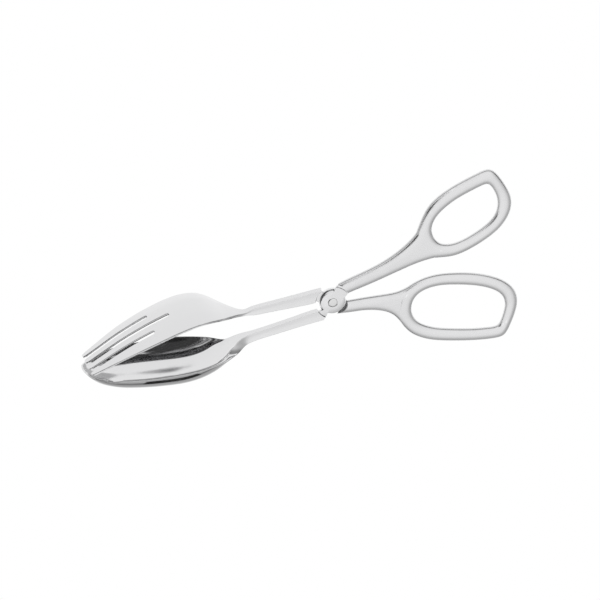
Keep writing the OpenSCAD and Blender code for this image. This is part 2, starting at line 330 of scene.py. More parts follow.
spoon_dish_power, fork_dish_power = 4.3, 2.5     # the higher, the flatter the bottom of the dish
face_inset = 0.35         # how far inside the rim the face's rounding starts
inset_share = 0.45        # and the most of the gap to the next line that it takes


def head_value(curve, distance, column):
    return np.interp(distance, curve[:, 0], curve[:, column])


def middle_surface(curve, distance, z, dish_power):
    """Points of the middle surface at distances from the rivet and places z across."""
    width = head_value(curve, distance, WIDTH)
    share = np.minimum(1, np.abs(z) / width)
    dish = head_value(curve, distance, DISH) * (1 - share ** dish_power)
    return np.stack([-distance, head_value(curve, distance, RIM) + dish, z], axis=-1)


def grid_normals(grid):
    """Unit normals of a grid of points, pointing to the fork's side."""
    along = np.gradient(grid, axis=0)
    across = np.gradient(grid, axis=1)
    normal = np.cross(across, along)
    normal /= np.linalg.norm(normal, axis=2, keepdims=True)
    return normal * np.sign(normal[..., 1:2])


def sheet_from_grid(name, curve, dish_power, distance, z, open_cell):
    """Skins a grid; open_cell(i, k) is true where the sheet is slotted."""
    rows, lines = z.shape
    grid = middle_surface(curve, distance, z, dish_power)
    normal = grid_normals(grid)
    thickness = head_value(curve, distance, THICK)
    step = np.abs(np.diff(z, axis=1))
    room = np.minimum(np.pad(step, ((0, 0), (1, 0)), "edge"),
                      np.pad(step, ((0, 0), (0, 1)), "edge"))
    inset = np.minimum(face_inset, inset_share * room)
    cells = [[i * lines + k, i * lines + k + 1, (i + 1) * lines + k + 1, (i + 1) * lines + k]
             for i in range(rows - 1) for k in range(lines - 1) if not open_cell(i, k)]
    return skin_sheet(name, grid.reshape(-1, 3), normal.reshape(-1, 3), thickness.reshape(-1),
                      inset.reshape(-1), cells)


# %% [markdown]
# ## The spoon
# Lines run lengthwise from the shank to the tip. If they all met in the point of the tip, the
# polished surface would pinch there, so the last crosswise rows bend with the rim instead, and
# the lines end along the blunt tip as the grain of a rolled blank does.

# %% Spoon, neck and shank
spoon_curve = open_curve(spoon_table, 4)
blunt_half = 15.4         # half the width that the lines keep along the blunt tip
blunt_depth = 9.2         # how far the last row bends back at the rim
blunt_power = 2.4
bend_start, settle_start, last_row = 104, 126, 142.1
spoon_lines = np.array([-1, -0.94, -0.82, -0.64, -0.43, -0.22, 0, 0.22, 0.43, 0.64, 0.82, 0.94, 1])
spoon_rows = np.concatenate([np.arange(4, 44, 5), np.arange(44, 74, 2.5), np.arange(74, 106, 4),
                             np.arange(106, 134, 3.5), [134.5, 137.5, 140, 141.5, last_row]])
bend = np.clip((spoon_rows - bend_start) / (last_row - bend_start), 0, 1)[:, None] ** 1.6
spoon_distance = spoon_rows[:, None] - blunt_depth * bend * np.abs(spoon_lines) ** blunt_power
spoon_z = spoon_lines * head_value(spoon_curve, spoon_distance, WIDTH)
tip_z = spoon_lines * blunt_half
settle = np.clip((spoon_rows - settle_start) / (last_row - settle_start), 0, 1)[:, None] ** 2
spoon_z = spoon_z * (1 - settle) + tip_z * settle
spoon = sheet_from_grid("spoon_arm", spoon_curve, spoon_dish_power, spoon_distance, spoon_z,
                        lambda i, k: False)
subdivide(spoon, 2)
print("spoon skin:", len(spoon.data.polygons), "faces")

# %% [markdown]
# ## The fork
# A fork could be cut from its sheet with a saw, and a Boolean would do that here, but its cuts
# would leave razor edges. Real tines are stamped and then ground round, so the slots are left
# open in the grid itself: four lines to a tine, with the strip between two tines missing beyond
# the end of its slot. The skin then rounds every tine and every slot's end by itself.

# %% Fork, neck and shank
fork_curve = open_curve(fork_table, 4)
slot_half = 1.9           # half the width of a slot
slot_shift = 0.2          # all three slots lie this much off the middle
slot_ends = (100.4, 89.6, 100.4)
tip_distance = 139.5
tip_pitch = 7.6           # from slot to slot at the tips
spread_share = 0.47       # the same at the slots' ends, as a share of the half width
slotted_width = 12        # half width from which the lines leave room for whole slots
tip_round_length = 2.2
tip_round_inset = 1.0
tine_shares = np.array([0, 0.2, 0.8, 1])         # where four lines run across one tine


def slot_opening(distance, end):
    """Half the width of a slot; it closes in a half circle."""
    depth = max(distance - end, 0.12 * slot_half)
    if depth >= slot_half:
        return slot_half
    return math.sqrt(slot_half ** 2 - (slot_half - depth) ** 2)


def slot_place(distance):
    """How far the outer slots lie from the middle."""
    if distance < slot_ends[0]:
        return spread_share * head_value(fork_curve, distance, WIDTH)
    start = spread_share * head_value(fork_curve, slot_ends[0], WIDTH)
    share = (distance - slot_ends[0]) / (tip_distance - slot_ends[0])
    return start + (tip_pitch - start) * share


def fork_line_places(distance):
    """Where the sixteen lengthwise lines cross one row."""
    width = head_value(fork_curve, distance, WIDTH)
    spread = slot_place(distance)
    narrow = min(1.0, width / slotted_width)
    centres = [c + slot_shift for c in (-spread, 0, spread)]
    gaps = [narrow * slot_opening(distance, end) for end in slot_ends]
    near_tip = np.clip((distance - tip_distance + tip_round_length) / tip_round_length, 0, 1)
    inset = tip_round_inset * (1 - math.sqrt(1 - near_tip ** 2))
    lows = [-width] + [c + g for c, g in zip(centres, gaps)]
    highs = [c - g for c, g in zip(centres, gaps)] + [width]
    return np.concatenate([low + inset + (high - low - 2 * inset) * tine_shares
                           for low, high in zip(lows, highs)])


slot_rows = [0.12, 0.4, 0.8, 1.4]
fork_rows = np.array(sorted(
    list(np.arange(4, 44, 5)) + list(np.arange(44, 86, 2.5)) + [87.2]
    + [slot_ends[1] + slot_half * d for d in slot_rows] + [94.5, 97.5]
    + [slot_ends[0] + slot_half * d for d in slot_rows] + list(np.arange(105.5, 135.5, 3.7))
    + [137.3, 138.5, 139.2, 139.5]))
fork_z = np.array([fork_line_places(d) for d in fork_rows])
fork_distance = np.repeat(fork_rows[:, None], fork_z.shape[1], axis=1)


def between_tines(i, k):
    return k % 4 == 3 and fork_rows[i] > slot_ends[k // 4]


fork = sheet_from_grid("fork_arm", fork_curve, fork_dish_power, fork_distance, fork_z,
                       between_tines)
subdivide(fork, 2)
print("fork skin:", len(fork.data.polygons), "faces")

# %% [markdown]
# ## The handles
# A stem widens and splits into a loop. Two bent bars pushed into each other would show a seam
# where they meet, and the real handle is one forging, so the cage is laid out as a smith would
# see it: the loop is a ring of cross-rows, and where the stem joins it, the ring's outer line is
# left open and carries the stem's rows instead. The bar's domed section comes from one rule, the
# distance from the nearest edge.

# %% Handle cage
edge_shares = np.array([0, 0.045, 0.15, 0.31, 0.5, 0.69, 0.85, 0.955, 1])
dome_reach = 3.7          # distance from the edge over which the face curves down
dome_power = 2.1
skin_allowance = 0.4      # subdividing draws the skin in by about this much


def dome(distance):
    """Height of the bar's face at a distance from its edge."""
    share = np.clip(distance / dome_reach, 0, 1)
    return bar_half * (1 - (1 - share) ** dome_power) ** (1 / dome_power)


def unit(vectors):
    return vectors / np.linalg.norm(vectors, axis=1, keepdims=True)


def distance_to_line(points, line, closed):
    ends = np.roll(line, -1, axis=0) if closed else line[1:]
    starts = line if closed else line[:-1]
    run = ends - starts
    gap = points[:, None, :] - starts
    t = np.clip((gap * run).sum(2) / (run ** 2).sum(1), 0, 1)
    return np.linalg.norm(gap - t[..., None] * run, axis=2).min(1)


def handle(name, stem_pairs, outer, opening, join, opening_join):
    """A stem and its loop: matching points on both edges, and the line where they join."""
    steps = 2
    upper = [p for p, _ in stem_pairs]
    lower = [q for _, q in stem_pairs]
    edge = open_curve(upper + outer + lower[::-1], steps)
    stem_rows = len(upper) * steps
    upper_edge, ring_outer = edge[:stem_rows], edge[stem_rows:len(edge) - stem_rows]
    lower_edge = edge[len(edge) - stem_rows:][::-1]
    ring_opening = closed_curve(opening + opening_join, steps)
    free = len(ring_outer)
    near = np.vstack([ring_opening[free - 1:], ring_opening[:1]])
    shares = edge_shares[1:-1]
    join_outer = at_share(open_curve([outer[-1]] + join + [outer[0]], 6), shares)
    join_opening = at_share(near, shares)
    outside = np.vstack([ring_outer, join_outer])
    inside = np.vstack([ring_opening[:free], join_opening])
    outward = unit(outside - inside) * skin_allowance
    inside = inside - outward
    outside[:free] += outward[:free]
    upward = unit(upper_edge - lower_edge) * skin_allowance
    upper_edge, lower_edge = upper_edge + upward, lower_edge - upward
    edge = np.vstack([upper_edge, outside[:free], lower_edge[::-1]])
    ring_opening = inside
    total, lines = len(outside), len(edge_shares)
    flat, index = [], {}

    def put(key, point):
        index[key] = len(flat)
        flat.append(point)

    for i in range(total):
        for k in range(lines):
            put(("ring", i, k), outside[i] + (inside[i] - outside[i]) * edge_shares[k])
    for i in range(stem_rows):
        for k in range(lines):
            put(("stem", i, k), upper_edge[i] + (lower_edge[i] - upper_edge[i]) * edge_shares[k])
    # The stem's last row is the ring's own outer line between the two corners.
    for k in range(lines):
        ring_row = 0 if k == 0 else total - k
        index[("stem", stem_rows, k)] = index[("ring", ring_row, 0)]
    flat = np.array(flat)
    height = dome(np.minimum(distance_to_line(flat, edge, False),
                             distance_to_line(flat, ring_opening, True)))
    rims = {index[("ring", i, lines - 1)] for i in range(total)}
    rims |= {index[("ring", i, 0)] for i in range(free)}
    rims |= {index[("stem", i, k)] for i in range(stem_rows) for k in (0, lines - 1)}
    points, top, under = [], {}, {}
    for v, place in enumerate(flat):
        top[v] = len(points)
        if v in rims:
            points.append((place[0], place[1], 0))
            under[v] = top[v]
        else:
            points += [(place[0], place[1], height[v]), (place[0], place[1], -height[v])]
            under[v] = top[v] + 1
    cells = [[("ring", i, k), ("ring", i, k + 1), ("ring", (i + 1) % total, k + 1),
              ("ring", (i + 1) % total, k)] for i in range(total) for k in range(lines - 1)]
    cells += [[("stem", i, k), ("stem", i, k + 1), ("stem", i + 1, k + 1), ("stem", i + 1, k)]
              for i in range(stem_rows) for k in range(lines - 1)]
    faces = [tuple(top[index[c]] for c in cell) for cell in cells]
    faces += [tuple(under[index[c]] for c in reversed(cell)) for cell in cells]
    first = [index[("stem", 0, k)] for k in range(lines)]
    faces += [(top[a], top[b], under[b], under[a]) for a, b in zip(first, first[1:])]
    faces = [tuple(dict.fromkeys(face)) for face in faces]
    thing = new_object(name, points, [f for f in faces if len(f) > 2])
    clean(thing)
    subdivide(thing, 2)
    print(name, "skin:", len(thing.data.polygons), "faces")
    return thing


# %% Thumb loop
thumb = handle(
    "thumb_handle",
    stem_pairs=[((4.7, 9.3), (4, 1.8)), ((11, 10.9), (11.4, 3.2)), ((20.4, 12.8), (21, 4.7)),
                ((30.4, 15.4), (31.6, 6.7)), ((40.4, 19.6), (42.4, 8.9)),
                ((47.8, 24.2), (51.6, 10.3))],
    outer=[(52.6, 28.6), (57.5, 37.0), (63.5, 43.9), (73, 48.9), (83, 52.2), (91, 54.2),
           (97.2, 55.2), (101.3, 52.0), (105.2, 43.0), (107.2, 34.5), (105.2, 26.5), (99.0, 19.2),
           (90.4, 14.2), (80.4, 10.6), (72.4, 8.9), (66, 9.3), (60.0, 10.4)],
    opening=[(60.7, 27.5), (62.3, 32.2), (67.0, 37.2), (75.4, 41.9), (83.4, 44.6), (90.4, 46.4),
             (95.4, 47.2), (97.8, 44.3), (99.5, 39.0), (99.7, 33.6), (97.8, 28.0), (93.5, 23.5),
             (87.4, 20.1), (80.4, 17.4), (75.0, 16.1), (70.5, 15.8), (66.5, 16.7)],
    join=[(55.4, 17.0), (53.0, 22.6)],
    opening_join=[(63.2, 18.8), (61.1, 22.8)])

# %% Finger loop
finger = handle(
    "finger_handle",
    stem_pairs=[((2, -1.6), (1, -7.8)), ((10, -2.3), (8.6, -9.1)), ((18, -3.0), (15.4, -9.9)),
                ((26, -3.9), (22.4, -11.7)), ((33, -4.6), (28.3, -14.5)),
                ((38, -4.4), (32.6, -18.4))],
    outer=[(43.2, -3.0), (51.0, -0.7), (60.4, -0.5), (70.4, -2.5), (80.4, -5.6), (89.6, -10.2),
           (96.2, -15.4), (100.2, -21.5), (100.8, -28.4), (98.4, -35.0), (94.4, -42.0),
           (90.4, -47.0), (84.5, -47.4), (74.0, -45.6), (60.4, -42.0), (50.0, -38.4),
           (43.2, -34.3), (38.9, -30.0), (35.9, -24.8)],
    opening=[(46.8, -9.0), (52.4, -6.9), (60.4, -6.9), (69.4, -9.1), (78.4, -12.1), (85.4, -15.5),
             (90.6, -19.3), (93.6, -23.6), (94.1, -28.6), (92.8, -32.8), (90.6, -37.4),
             (87.8, -40.8), (82.6, -40.5), (73.6, -38.8), (62.0, -35.4), (53.6, -32.4),
             (47.8, -29.0), (44.6, -26.1), (42.7, -22.8)],
    join=[(34.6, -17.0), (37.2, -9.4)],
    opening_join=[(41.8, -18.2), (43.2, -12.8)])

# %% [markdown]
# ## The half-lap
# Each arm is milled to half its thickness around the rivet, so that the arms lie in one plane
# where they cross. The milling cutter leaves a round wall with a broken edge. The cutter itself is
# the simplest tool here too: a turned shape with flared ends cuts each skin, and a thin disc with
# its two straps is joined on.


# %% Mill the walls and add the discs
cutter_reach = 4.0        # half the cutter's height
past_face = 0.1           # how far past the bar's face the broken edge's slope runs


def milling_cutter(radius, draft, flare):
    """A solid of the cut's radius, flared at the faces; draft leans the wall on the front side."""
    just_above_middle = 0.02
    profile = [(0, -cutter_reach), (radius + 2 * flare, -cutter_reach),
               (radius + flare, -bar_half - past_face), (radius, -bar_half + flare),
               (radius, 0), (radius - draft, just_above_middle), (radius, bar_half - flare),
               (radius + flare, bar_half + past_face), (radius + 2 * flare, cutter_reach),
               (0, cutter_reach)]
    cutter = lathe("cutter", profile)
    close_poles(cutter)
    return cutter


for skin, radius, draft, flare in ((spoon, spoon_wall, 0.1, 0.3), (thumb, spoon_wall, 0.1, 0.3),
                                   (fork, fork_wall, 0.8, 0.3), (finger, stem_wall, 0.1, 0.6)):
    combine(skin, milling_cutter(radius, draft, flare), "DIFFERENCE")
corner = [(-6.8, -13), (0, -13), (0, -5.0), (-4.4, -5.2), (-6.6, -8.6)]
combine(spoon, plate("corner", corner, -cutter_reach, cutter_reach, 0.05), "DIFFERENCE")
toe = [(-4.7, 2), (0, 2), (0, 12), (-6.2, 12)]      # room for the other arm when the tongs open
combine(fork, plate("toe", toe, -0.02, cutter_reach, 0.01), "DIFFERENCE")

groove_radius = 2.75      # the narrow groove around the rivet's head
seat_height = 1.3         # the bottom of the groove
front_disc = lathe("front_disc", [
    (rivet_radius, lap_gap), (front_disc_radius, lap_gap), (front_disc_radius, disc_face - 0.35),
    (front_disc_radius - 0.1, disc_face - 0.12), (front_disc_radius - 0.35, disc_face),
    (groove_radius + 0.15, disc_face), (groove_radius, disc_face - 0.12),
    (groove_radius, seat_height), (rivet_radius, seat_height)])
rear_disc = lathe("rear_disc", [
    (rivet_radius + lap_gap, -bar_half), (rear_disc_radius - 0.4, -bar_half),
    (rear_disc_radius - 0.1, -bar_half + 0.12), (rear_disc_radius, -bar_half + 0.4),
    (rear_disc_radius, -lap_gap), (rivet_radius + lap_gap, -lap_gap)])
for disc in (front_disc, rear_disc):
    close_poles(disc)

front_straps = [
    [(-3.0, -2.6), (-9.2, -3.5), (-9.2, -8.9), (-7.0, -8.7), (-5.6, -8.1), (-4.2, -6.0),
     (-2.6, -3.6)],
    [(2.6, -2.2), (9.4, 3.3), (9.2, 5.6), (7.2, 8.2), (4.6, 9.3), (3.4, 8.6), (-2.2, 2.6)]]
rear_straps = [
    [(-2.6, -2.4), (2.4, 2.6), (-4.2, 6.4), (-5.3, 8.5), (-6.4, 8.7), (-9.8, 6.0), (-9.9, 3.2)],
    [(2.4, 2.8), (8.3, -2.5), (8.3, -4.6), (6.8, -6.6), (4.0, -8.6), (2.6, -8.4), (-2.6, -2.6)]]
for outline in front_straps:
    combine(front_disc, plate("strap", outline, lap_gap, disc_face, 0.2), "UNION")
for outline in rear_straps:
    combine(rear_disc, plate("strap", outline, -bar_half, -lap_gap, 0.2), "UNION")
for skin, disc, loop in ((spoon, front_disc, thumb), (fork, rear_disc, finger)):
    combine(skin, disc, "UNION")
    combine(skin, loop, "UNION")
foot = lathe("foot of the wall", [(9.05, 1.2), (9.42, 1.2), (9.42, 1.95), (9.05, 1.95)])
combine(spoon, foot, "DIFFERENCE")
print("arms:", len(spoon.data.polygons), len(fork.data.polygons))

# %% [markdown]
# ## The rivet
# A rivet is a turned part, so its shape follows a rule: one profile, swept round the axis. It
# could be drawn point by point, but Geometry Nodes state the rule itself. The tree takes the
# profile's points, lays a grid with one row for each of them, wraps the grid round the axis and
# merges it where it closes. Its inputs are the profile, the number of segments, the number of the
# profile's points and the distance within which points are merged.


# %% Turning by Geometry Nodes
def tree_math(tree, operation, first, second=None):
    """A Math node; first and second are numbers or sockets."""
    node = tree.nodes.new("ShaderNodeMath")
    node.operation = operation
    for socket, value in zip(node.inputs, (first, second)):
        if isinstance(value, (int, float)):
            socket.default_value = value
        elif value is not None:
            tree.links.new(value, socket)
    return node.outputs[0]


def turning_tree(material):
    tree = bpy.data.node_groups.new("turned part", "GeometryNodeTree")
    face = tree.interface
    face.new_socket("Profile", in_out="INPUT", socket_type="NodeSocketGeometry")
    face.new_socket("Segments", in_out="INPUT", socket_type="NodeSocketInt")
    face.new_socket("Profile points", in_out="INPUT", socket_type="NodeSocketInt")
    face.new_socket("Merge distance", in_out="INPUT", socket_type="NodeSocketFloat")
    face.new_socket("Part", in_out="OUTPUT", socket_type="NodeSocketGeometry")
    link = tree.links.new
    given, result = tree.nodes.new("NodeGroupInput"), tree.nodes.new("NodeGroupOutput")

    def compute(operation, first, second=None):
        return tree_math(tree, operation, first, second)

    columns = compute("ADD", given.outputs["Segments"], 1)
    grid = tree.nodes.new("GeometryNodeMeshGrid")
    link(given.outputs["Profile points"], grid.inputs["Vertices X"])
    link(columns, grid.inputs["Vertices Y"])
    index = tree.nodes.new("GeometryNodeInputIndex").outputs[0]
    row = compute("FLOOR", compute("DIVIDE", compute("ADD", index, 0.5), columns))
    column = compute("SUBTRACT", index, compute("MULTIPLY", row, columns))
    angle = compute("DIVIDE", compute("MULTIPLY", column, 2 * math.pi), given.outputs["Segments"])
    place = tree.nodes.new("GeometryNodeSampleIndex")
    place.data_type = "FLOAT_VECTOR"
    link(given.outputs["Profile"], place.inputs["Geometry"])
    link(tree.nodes.new("GeometryNodeInputPosition").outputs[0], place.inputs["Value"])
    link(row, place.inputs["Index"])
    parts = tree.nodes.new("ShaderNodeSeparateXYZ")
    link(place.outputs["Value"], parts.inputs[0])
    point = tree.nodes.new("ShaderNodeCombineXYZ")
    for label, operation in (("X", "COSINE"), ("Y", "SINE")):
        reach = compute("MULTIPLY", parts.outputs["X"], compute(operation, angle))
        link(reach, point.inputs[label])
    link(parts.outputs["Z"], point.inputs["Z"])
    wrap = tree.nodes.new("GeometryNodeSetPosition")
    link(grid.outputs["Mesh"], wrap.inputs["Geometry"])
    link(point.outputs[0], wrap.inputs["Position"])
    merge = tree.nodes.new("GeometryNodeMergeByDistance")
    link(wrap.outputs[0], merge.inputs["Geometry"])
    link(given.outputs["Merge distance"], merge.inputs["Distance"])
    real = tree.nodes.new("GeometryNodeRealizeInstances")
    link(merge.outputs[0], real.inputs[0])
    paint = tree.nodes.new("GeometryNodeSetMaterial")
    link(real.outputs[0], paint.inputs["Geometry"])
    paint.inputs["Material"].default_value = material
    link(paint.outputs[0], result.inputs[0])
    return tree


def turned_part(name, profile, segments, material):
    """A turned part from an open profile of (radius, height) points that starts and ends at 0."""
    thing = new_object(name, [(r, 0, z) for r, z in profile], [])
    tree = turning_tree(material)
    turn = thing.modifiers.new("turning", "NODES")
    turn.node_group = tree
    sockets = {item.name: item.identifier for item in tree.interface.items_tree
               if item.in_out == "INPUT"}
    turn[sockets["Segments"]] = segments
    turn[sockets["Profile points"]] = len(profile)
    turn[sockets["Merge distance"]] = 1e-4
    apply_modifiers(thing)
    return thing


# %% [markdown]
# ## Marks of polishing and of use, and a painted edge highlight
# Polished steel is never a perfect mirror. The buffing wheel leaves hair-fine lines, hands leave
# faint smudges, and edges that are rubbed in a drawer turn a little smoother. Along sharp outward
# edges the steel's colour is also painted a little brighter: a painted highlight. Three effects
# could be painted into each material, but both kinds of steel here share them, so each is a node
# group that gives only a mask, and each material mixes in its own amount.


# %% Groups for the marks
def new_group(name, inputs, outputs):
    group = bpy.data.node_groups.new(name, "ShaderNodeTree")
    for label, value in inputs.items():
        socket = group.interface.new_socket(label, in_out="INPUT", socket_type="NodeSocketFloat")
        socket.default_value = value
    for label in outputs:
        group.interface.new_socket(label, in_out="OUTPUT", socket_type="NodeSocketFloat")
    return group, group.nodes.new("NodeGroupInput"), group.nodes.new("NodeGroupOutput")


def ramp(group, value, low, high, out_low=0.0, out_high=1.0):
    node = group.nodes.new("ShaderNodeMapRange")
    node.interpolation_type = "SMOOTHSTEP"
    for label, number in (("From Min", low), ("From Max", high),
                          ("To Min", out_low), ("To Max", out_high)):
        node.inputs[label].default_value = number
    group.links.new(value, node.inputs["Value"])
    return node.outputs["Result"]


def noise(group, place, scale, detail=2.0, stretch=None, turn=(0, 0, 0)):
    """Noise in the object's own coordinates, stretched and turned on the way."""
    mapping = group.nodes.new("ShaderNodeMapping")
    mapping.inputs["Rotation"].default_value = turn
    mapping.inputs["Scale"].default_value = stretch or (1, 1, 1)
    group.links.new(place, mapping.inputs["Vector"])
    node = group.nodes.new("ShaderNodeTexNoise")
    node.inputs["Detail"].default_value = detail
    group.links.new(mapping.outputs[0], node.inputs["Vector"])
    if isinstance(scale, (int, float)):
        node.inputs["Scale"].default_value = scale
    else:
        group.links.new(scale, node.inputs["Scale"])
    return node.outputs["Fac"]


def hairline_group():
    """Hair-fine lines: short stretched noise in two directions, kept only where it peaks."""
    group, given, result = new_group("hairlines", {"Scale": 900.0, "Density": 0.5}, ["Mask"])
    place = group.nodes.new("ShaderNodeTexCoord").outputs["Object"]
    first = noise(group, place, given.outputs["Scale"], 1.0, (0.035, 1, 1), (0.1, 0.2, 0.5))
    second = noise(group, place, given.outputs["Scale"], 1.0, (0.05, 1, 1), (-0.3, 0.1, -0.9))
    peaks = tree_math(group, "MAXIMUM", first, second)
    mask = ramp(group, peaks, 0.62, 0.74)
    patches = ramp(group, noise(group, place, 45.0, 2.0), 0.38, 0.62)
    kept = tree_math(group, "MULTIPLY", mask, patches)
    thinned = tree_math(group, "MULTIPLY", kept, given.outputs["Density"])
    group.links.new(thinned, result.inputs["Mask"])
    return group


def smudge_group():
    """Soft cloudy marks left by hands and by the polishing cloth."""
    group, given, result = new_group("smudges", {"Scale": 60.0}, ["Mask"])
    place = group.nodes.new("ShaderNodeTexCoord").outputs["Object"]
    broad = noise(group, place, given.outputs["Scale"], 4.0)
    mottle = noise(group, place, 400.0, 2.0)
    mixed = tree_math(group, "ADD", tree_math(group, "MULTIPLY", broad, 0.75),
                      tree_math(group, "MULTIPLY", mottle, 0.25))
    group.links.new(ramp(group, mixed, 0.4, 0.66), result.inputs["Mask"])
    return group


def rub_and_sheen_group():
    """Where the metal bends sharply outwards, broken up by noise: rubbed smoother there, and
    painted brighter there as a painted highlight.
    """
    group, given, result = new_group("rubbed edges and painted sheen", {"Sharpness": 0.53}, ["Mask"])
    place = group.nodes.new("ShaderNodeTexCoord").outputs["Object"]
    bend = group.nodes.new("ShaderNodeNewGeometry").outputs["Pointiness"]
    over = tree_math(group, "SUBTRACT", bend, given.outputs["Sharpness"])
    gaps = ramp(group, noise(group, place, 250.0), 0.3, 0.7, 0.4, 1)
    broken = tree_math(group, "MULTIPLY", over, gaps)
    group.links.new(ramp(group, broken, 0.0, 0.04), result.inputs["Mask"])
    return group


hairlines, smudges, rub_and_sheen = hairline_group(), smudge_group(), rub_and_sheen_group()

# %% [markdown]
# ## Two steels
# The arms are buffed to a mirror: a metal with very low roughness that the marks raise a little.
# The rivet is turned and only brushed, so it is duller and carries rings from the lathe tool.


# %% Steel materials
neck_x = (placement @ Vector((-44, 0, 0))).x     # where the mirror finish turns satin, in metres
neck_fade = 0.012         # half the length of that change, in metres
hairline_share, smudge_share = 0.6, 0.55
mark_depth = 0.00001      # metres


def steel(name, colour, roughness, roughest, line_scale, satin=0.0):
    """A metal whose roughness runs with the marks; satin is what the handles' half adds."""
    material = bpy.data.materials.new(name)
    material.use_nodes = True
    tree = material.node_tree
    shader = tree.nodes["Principled BSDF"]
    shader.inputs["Metallic"].default_value = 1.0
    shader.inputs["Base Color"].default_value = (*colour, 1)
    made = {}
    for group, label in ((hairlines, "hairlines"), (smudges, "smudges"), (rub_and_sheen, "rubbed edges and painted sheen")):
        node = tree.nodes.new("ShaderNodeGroup")
        node.node_tree = group
        made[label] = node
    made["hairlines"].inputs["Scale"].default_value = line_scale
    marks = tree_math(
        tree, "ADD",
        tree_math(tree, "MULTIPLY", made["hairlines"].outputs[0], hairline_share),
        tree_math(tree, "MULTIPLY", made["smudges"].outputs[0], smudge_share))
    rubbed_off = ramp(tree, made["rubbed edges and painted sheen"].outputs[0], 0, 1, 1, 0.4)
    marks = tree_math(tree, "MULTIPLY", marks, rubbed_off)
    along = tree.nodes.new("ShaderNodeSeparateXYZ")
    tree.links.new(tree.nodes.new("ShaderNodeTexCoord").outputs["Object"], along.inputs[0])
    duller = ramp(tree, along.outputs["X"], neck_x - neck_fade, neck_x + neck_fade, 0, satin)
    finish = tree_math(tree, "ADD", ramp(tree, marks, 0, 1, roughness, roughest), duller)
    tree.links.new(finish, shader.inputs["Roughness"])
    # Painted highlight: along sharp outward edges the steel's colour is raised by 12 %, on top of
    # the real smoothing above.
    painted_edge_sheen = tree.nodes.new("ShaderNodeMix")
    painted_edge_sheen.data_type = "RGBA"
    painted_edge_sheen.inputs["A"].default_value = (*colour, 1)
    painted_edge_sheen.inputs["B"].default_value = (*(min(1, c * 1.12) for c in colour), 1)
    tree.links.new(made["rubbed edges and painted sheen"].outputs[0], painted_edge_sheen.inputs["Factor"])
    tree.links.new(painted_edge_sheen.outputs["Result"], shader.inputs["Base Color"])
    bump = tree.nodes.new("ShaderNodeBump")
    bump.inputs["Strength"].default_value = 0.25
    bump.inputs["Distance"].default_value = mark_depth
    tree.links.new(marks, bump.inputs["Height"])
    tree.links.new(bump.outputs["Normal"], shader.inputs["Normal"])
    return material, tree, marks, bump


polished_steel = steel("polished steel", (0.56, 0.56, 0.565), 0.07, 0.18, 900.0, satin=0.16)[0]
rivet_steel, rivet_nodes, rivet_marks, rivet_bump = steel(
    "brushed rivet steel", (0.54, 0.54, 0.54), 0.18, 0.36, 1400.0)

centre = rivet_nodes.nodes.new("ShaderNodeMapping")
centre.vector_type = "TEXTURE"
centre.inputs["Location"].default_value = hinge["pos_m"]
centre.inputs["Rotation"].default_value = to_row.to_euler()
rings = rivet_nodes.nodes.new("ShaderNodeTexWave")
rings.wave_type = "RINGS"
rings.rings_direction = "Z"
rings.inputs["Scale"].default_value = 1500.0
rings.inputs["Distortion"].default_value = 0.6
rivet_place = rivet_nodes.nodes.new("ShaderNodeTexCoord").outputs["Object"]
rivet_nodes.links.new(rivet_place, centre.inputs["Vector"])
rivet_nodes.links.new(centre.outputs[0], rings.inputs["Vector"])
turned_marks = tree_math(rivet_nodes, "ADD", rivet_marks,
                         tree_math(rivet_nodes, "MULTIPLY", rings.outputs["Fac"], 0.5))
rivet_nodes.links.new(turned_marks, rivet_bump.inputs["Height"])
print("materials:", polished_steel.name, "and", rivet_steel.name)

# %% Turn the rivet
rivet = turned_part("rivet", [
    (0, -2.9), (2.4, -2.88), (3.0, -2.78), (3.3, -2.6), (3.4, -2.35), (3.4, -2.14), (1.86, -2.14),
    (1.86, 1.26), (1.9, 1.34), (2.4, 1.34), (2.45, 1.42), (2.45, 1.84), (2.4, 1.96), (2.25, 2.04),
    (1.7, 2.09), (0, 2.1)], turning_segments, rivet_steel)

# %% Tie the pieces to their bodies
finish_piece(spoon, spoon_body, ["spoon_bowl", "spoon_neck", "spoon_shank", "spoon_lap_disc",
                                 "thumb_loop"], polished_steel)
finish_piece(fork, fork_body, ["fork_head", "fork_neck", "fork_shank", "fork_lap_disc",
                               "finger_loop"], polished_steel)
finish_piece(rivet, spoon_body, ["pivot_rivet"], rivet_steel)

# %% [markdown]
# ## Floor, light and camera
# Polished steel shows its surroundings more than itself, so the light is the surroundings: a
# white room all round, as in a light tent. The floor is plain and gives its own even light,
# which keeps it pale and free of hard shadows, and it is a little darker where the steel
# mirrors it, so that the undersides of the bars stand out. The tent grows brighter from the
# floor to the top; its back starts dimmer than its front and brightens sooner. Real light would
# stay just as bright where steel is seen in steel. Here the floor and the tent are dimmed there,
# most of all at the front, which is what gives the bowl its deep far wall.

# %% Floor
def emission_by_ray(tree, seen, mirrored, deep):
    """One glow where the camera looks, another where steel mirrors it, and a share of that,
    deep, where steel is seen in steel."""
    path = tree.nodes.new("ShaderNodeLightPath")
    beyond_first = tree_math(tree, "GREATER_THAN", path.outputs["Glossy Depth"], 1.5)
    beyond_second = tree_math(tree, "GREATER_THAN", path.outputs["Glossy Depth"], 2.5)
    second_mirror = tree_math(tree, "SUBTRACT", beyond_first, beyond_second)
    loss = tree_math(tree, "MULTIPLY", second_mirror, tree_math(tree, "SUBTRACT", 1, deep))
    share = tree_math(tree, "SUBTRACT", 1, loss)
    choose = tree.nodes.new("ShaderNodeMixShader")
    tree.links.new(path.outputs["Is Camera Ray"], choose.inputs[0])
    for slot, strength in ((2, seen), (1, tree_math(tree, "MULTIPLY", mirrored, share))):
        glow = tree.nodes.new("ShaderNodeEmission")
        if isinstance(strength, (int, float)):
            glow.inputs["Strength"].default_value = strength
        else:
            tree.links.new(strength, glow.inputs["Strength"])
        tree.links.new(glow.outputs[0], choose.inputs[slot])
    return choose.outputs[0]


